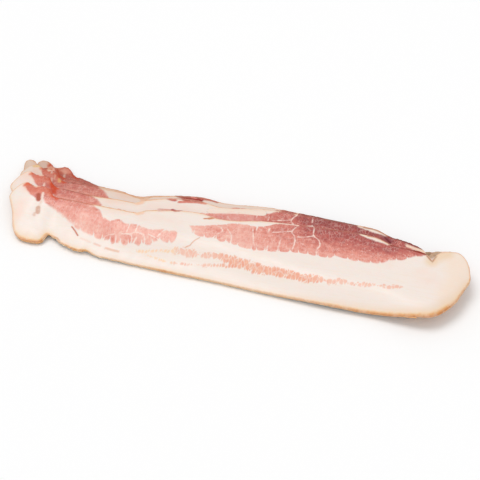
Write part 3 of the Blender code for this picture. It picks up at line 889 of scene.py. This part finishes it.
def bacon_material(name, painted_shade):
    g = Graph(name)
    slab = g.vector("slab")
    loose = g.warped(slab, 5.0, 0.8)
    ragged = g.noise(slab, 1.5, 3.0)
    fine = g.noise(slab, 0.7, 3.0, 0.6)

    # Fat, a little rosier in places, with faint fibres along the slab
    blotch = g.math("ADD", g.field("rosy"), g.around(g.noise(slab, 12.0, 3.0), 0.9))
    fat = g.mix(g.ramp(blotch, 0.0, 1.0), FAT, FAT_ROSY)
    fibres = g.noise(g.stretched(loose, (0.07, 0.9, 0.4), turn=3.0), 1.0, 4.0, 0.6)
    fat = g.mix(g.ramp(fibres, 0.45, 0.75, 0.0, 0.5), fat, FAT_CREAM)
    fat = g.mix(g.ramp(fine, 0.5, 0.8, 0.0, 0.2), fat, FAT_ROSY)

    # Lean: bundles of fibres that lie across the slab, with round lower ends and pale seams between them
    bundle_gap = g.rows(g.warped(slab, 6.0, 1.1), 5.2, ACROSS_TURN)
    cleft = g.math("ADD", g.rounded(bundle_gap, 0.42, 2.2), g.ramp(bundle_gap, 0.0, 0.07, 1.6, 0.0))
    septum = g.math("ADD", g.field("septa"), g.around(g.noise(slab, 2.2, 3.0, 0.6), 1.1))
    bite = g.math("MAXIMUM", g.math("MULTIPLY", cleft, g.field("clefts")), g.ramp(septum, 0.0, 0.6, 1.2, 0.0))
    edge = g.math("SUBTRACT", g.field("lean"), bite)
    edge = g.math("ADD", edge, g.around(g.noise(slab, 2.6, 2.0), 1.2))
    edge = g.math("ADD", edge, g.around(fine, 0.5))
    lean_mask = g.ramp(edge, g.math("MULTIPLY", g.field("softness"), -1.0), g.field("softness"))
    clouds = g.noise(g.stretched(loose, (0.13, 0.34, 0.3)), 1.0, 3.0, 0.6)
    tone = g.math("ADD", g.field("red"), g.around(clouds, 0.5))
    tone = g.math("ADD", tone, g.around(g.noise(loose, 2.2, 4.0, 0.6), 0.4))
    small = g.stretched(loose, (1 / 1.5, 1 / 2.6, 1.0), turn=-ACROSS_TURN)
    small_gap = g.cells(small, "DISTANCE_TO_EDGE").outputs["Distance"]
    tint = g.node("ShaderNodeSeparateColor", {"Color": g.cells(small).outputs["Color"]}).outputs[0]
    tone = g.math("ADD", tone, g.around(tint, 0.08))
    grains = g.noise(g.stretched(slab, (1.2, 0.6, 0.5), turn=-ACROSS_TURN), 1.0, 3.0, 0.6)
    tone = g.math("ADD", tone, g.around(grains, 0.22))
    lean = g.tones(tone, LEAN_TONES)
    faint = g.ramp(g.noise(slab, 4.0, 2.0), 0.4, 0.65, 0.05, 0.32)
    lean = g.mix(g.math("MULTIPLY", g.ramp(small_gap, 0.0, 0.14, 1.0, 0.0), faint), lean, SEAM)
    specks = g.cells(g.stretched(loose, (1 / 2.4, 1 / 1.7, 1.0)))
    chosen = g.node("ShaderNodeSeparateColor", {"Color": specks.outputs["Color"]}).outputs[1]
    speck = g.ramp(specks.outputs["Distance"], 0.06, 0.2, 0.8, 0.0)
    speck = g.math("MULTIPLY", speck, g.ramp(chosen, 0.6, 0.95))
    lean = g.mix(speck, lean, SEAM)
    seam = g.math("MULTIPLY", g.ramp(bundle_gap, 0.0, 0.04, 0.6, 0.0), g.ramp(g.noise(slab, 5.0), 0.5, 0.62))
    lean = g.mix(g.math("MULTIPLY", seam, g.field("clefts")), lean, SEAM)
    mottle = g.ramp(g.noise(loose, 2.8, 4.0, 0.65), 0.52, 0.72, 0.0, 0.38)
    lean = g.mix(g.math("MULTIPLY", mottle, g.ramp(tone, 0.35, 0.75, 1.0, 0.25)), lean, SEAM)
    shown = g.ramp(g.noise(slab, 6.0, 2.0), 0.35, 0.5, 0.35, 0.85)
    lean = g.mix(g.math("MULTIPLY", g.ramp(septum, 0.05, 0.6, 1.0, 0.0), shown), lean, SEAM)
    colour = g.mix(lean_mask, fat, lean)

    # Narrow streaks: rows of short round-ended dashes that lie across, paler and rosier by place
    dashes = g.stretched(g.warped(slab, 3.0, 0.7), (1 / 2.1, 1 / 4.4, 1.0))
    dash_gap = g.cells(dashes, "DISTANCE_TO_EDGE").outputs["Distance"]
    dash_edge = g.math("SUBTRACT", g.field("streak"), g.rounded(dash_gap, 0.4, 1.0))
    dash_edge = g.math("SUBTRACT", dash_edge, g.ramp(dash_gap, 0.0, 0.08, 0.6, 0.0))
    dash_edge = g.math("ADD", dash_edge, g.around(g.noise(slab, 2.0, 2.0), 1.5))
    streak = g.tones(g.noise(slab, 2.0, 3.0), STREAK_TONES)
    place = g.node("ShaderNodeSeparateXYZ", {"Vector": slab}).outputs["X"]
    streak = g.mix(g.ramp(place, -8.0, 4.0, 0.5, 0.0), streak, FAT_ROSY)
    streak = g.mix(g.ramp(place, 46.0, 60.0, 0.0, 0.45), streak, FAT_ROSY)
    streak = g.mix(g.ramp(place, -29.0, -24.0, 1.0, 0.0), streak, STREAK_PALE)
    streak = g.mix(g.ramp(dash_gap, 0.0, 0.12, 0.45, 0.0), streak, FAT)
    colour = g.mix(g.ramp(dash_edge, -0.7, 0.35, 0.0, 0.97), colour, streak)

    # Strokes, with ragged edges
    strokes = g.node("ShaderNodeAttribute", attribute_name="strokes")
    cover = g.math("MULTIPLY", strokes.outputs["Alpha"], g.ramp(ragged, 0.25, 0.5, 0.75, 1.0))
    colour = g.mix(cover, colour, strokes.outputs["Color"])

    # The smoked surface shows in from the rind, and as a thin line along the meat
    inward = g.math("ADD", g.field("rim"), g.around(ragged, 0.7))
    share = g.math("DIVIDE", inward, g.field("reach"))
    patchy = g.ramp(g.noise(slab, 4.0, 3.0, 0.6), 0.3, 0.6, 0.6, 1.0)
    crust = g.math("MULTIPLY", g.field("crust"), patchy)
    crust = g.math("MULTIPLY", crust, g.ramp(cover, 0.2, 0.9, 1.0, 0.1))
    rind = g.field("rind")
    haze = g.math("DIVIDE", g.field("rim"), g.math("MAXIMUM", g.field("reach"), 1.2))
    haze = g.math("MULTIPLY", g.ramp(haze, 0.2, 2.8, 0.75, 0.0), g.field("crust"))
    haze = g.math("MULTIPLY", haze, g.ramp(rind, 0.0, 1.0, 0.5, 1.0))
    colour = g.mix(g.math("MULTIPLY", haze, g.math("SUBTRACT", 1.0, lean_mask)), colour, FAT_SMOKED)
    meat_rim = g.mix(lean_mask, g.tones(share, MEAT_RIM_TANS), g.tones(g.field("red"), MEAT_RIM_REDS))
    rim_colour = g.mix(rind, meat_rim, g.tones(share, RIND_TONES))
    colour = g.mix(g.math("MULTIPLY", g.ramp(share, 0.3, 1.2, 1.0, 0.0), crust), colour, rim_colour)
    bark = g.tones(g.noise(slab, 2.4, 4.0, 0.6), WALL_TONES)
    wall_colour = g.mix(rind, meat_rim, g.mix(crust, WALL_PALE, bark))
    colour = g.mix(g.field("wall"), colour, wall_colour)
    # Painted shade: the whole colour is multiplied down by how deep in the stack this rasher lies
    shaded_colour = g.node("ShaderNodeMix", data_type="RGBA", blend_type="MULTIPLY")
    for index, value in ((0, 1.0), (6, colour), (7, painted_shade)):
        g.set(shaded_colour.inputs[index], value)

    # Moist gloss, duller under the strokes, and the grooves between bundles of fibres
    g.set(g.shader.inputs["Base Color"], shaded_colour.outputs[2])
    wet = g.ramp(g.noise(slab, 4.0, 3.0), 0.3, 0.7, 0.34, 0.52)
    g.set(g.shader.inputs["Roughness"], g.math("SUBTRACT", wet, g.math("MULTIPLY", lean_mask, 0.06)))
    g.shader.inputs["Subsurface Weight"].default_value = 0.15
    g.shader.inputs["Subsurface Radius"].default_value = (0.0014, 0.0007, 0.0005)
    g.shader.inputs["Subsurface Scale"].default_value = 1.0
    g.set(g.shader.inputs["Specular IOR Level"], g.ramp(cover, 0.4, 1.0, 0.45, 0.1))
    grooves = g.math("ADD", g.ramp(bundle_gap, 0.0, 0.12, 0.0, 0.5), g.ramp(small_gap, 0.0, 0.2, 0.0, 0.4))
    height = g.math("ADD", g.math("MULTIPLY", fine, 0.5), g.math("MULTIPLY", grooves, lean_mask))
    bump = g.node("ShaderNodeBump", {"Height": height, "Strength": 0.3, "Distance": 0.0003})
    g.set(g.shader.inputs["Normal"], bump.outputs["Normal"])
    return g.material


# ----------------------------------------------------------
# Stage


def plain_material(name, colour, roughness):
    g = Graph(name)
    tone = g.noise(g.node("ShaderNodeTexCoord").outputs["Object"], 0.4, 2.0)
    g.set(g.shader.inputs["Base Color"], g.mix(tone, colour, tuple(0.985 * c for c in colour)))
    g.shader.inputs["Roughness"].default_value = roughness
    return g.material


def build_stage():
    bpy.ops.mesh.primitive_plane_add(size=FLOOR_SIZE)
    floor = bpy.context.object
    floor.name = "floor"
    floor.data.materials.append(plain_material("floor", FLOOR_WHITE, FLOOR_ROUGHNESS))

    world = bpy.data.worlds.new("studio")
    world.use_nodes = True
    world.node_tree.nodes["Background"].inputs["Color"].default_value = (1.0, 1.0, 1.0, 1.0)
    world.node_tree.nodes["Background"].inputs["Strength"].default_value = WORLD_STRENGTH
    bpy.context.scene.world = world

    for name, direction, strength in SUNS:
        light = bpy.data.lights.new(name, "SUN")
        light.energy = strength
        light.angle = math.radians(SUN_ANGLE)
        thing = bpy.data.objects.new(name, light)
        thing.rotation_euler = Vector(direction).to_track_quat("Z", "Y").to_euler()
        bpy.context.scene.collection.objects.link(thing)


def build_camera():
    azimuth, elevation = math.radians(CAMERA_AZIMUTH), math.radians(CAMERA_ELEVATION)
    away = Vector((
        math.sin(azimuth) * math.cos(elevation),
        -math.cos(azimuth) * math.cos(elevation),
        math.sin(elevation),
    ))
    data = bpy.data.cameras.new("camera")
    data.lens = CAMERA_LENS
    data.sensor_width = CAMERA_SENSOR
    camera = bpy.data.objects.new("camera", data)
    camera.location = Vector(CAMERA_TARGET) + away * CAMERA_DISTANCE
    camera.rotation_euler = away.to_track_quat("Z", "Y").to_euler()
    bpy.context.scene.collection.objects.link(camera)
    bpy.context.scene.camera = camera


def main():
    build_stage()
    build_camera()
    bpy.context.scene.view_settings.view_transform = "Standard"
    rashers = [Rasher(index) for index in range(len(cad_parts))]
    for rasher in rashers:
        piece = build_rasher(rasher, rashers[0], LOWER_STEP if rasher.index else TOP_STEP)
        piece.data.materials.append(bacon_material(rasher.name + "_bacon", PAINTED_SHADE_BY_RASHER[rasher.index]))
        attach(piece, "root")
        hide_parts(rasher.name)


main()
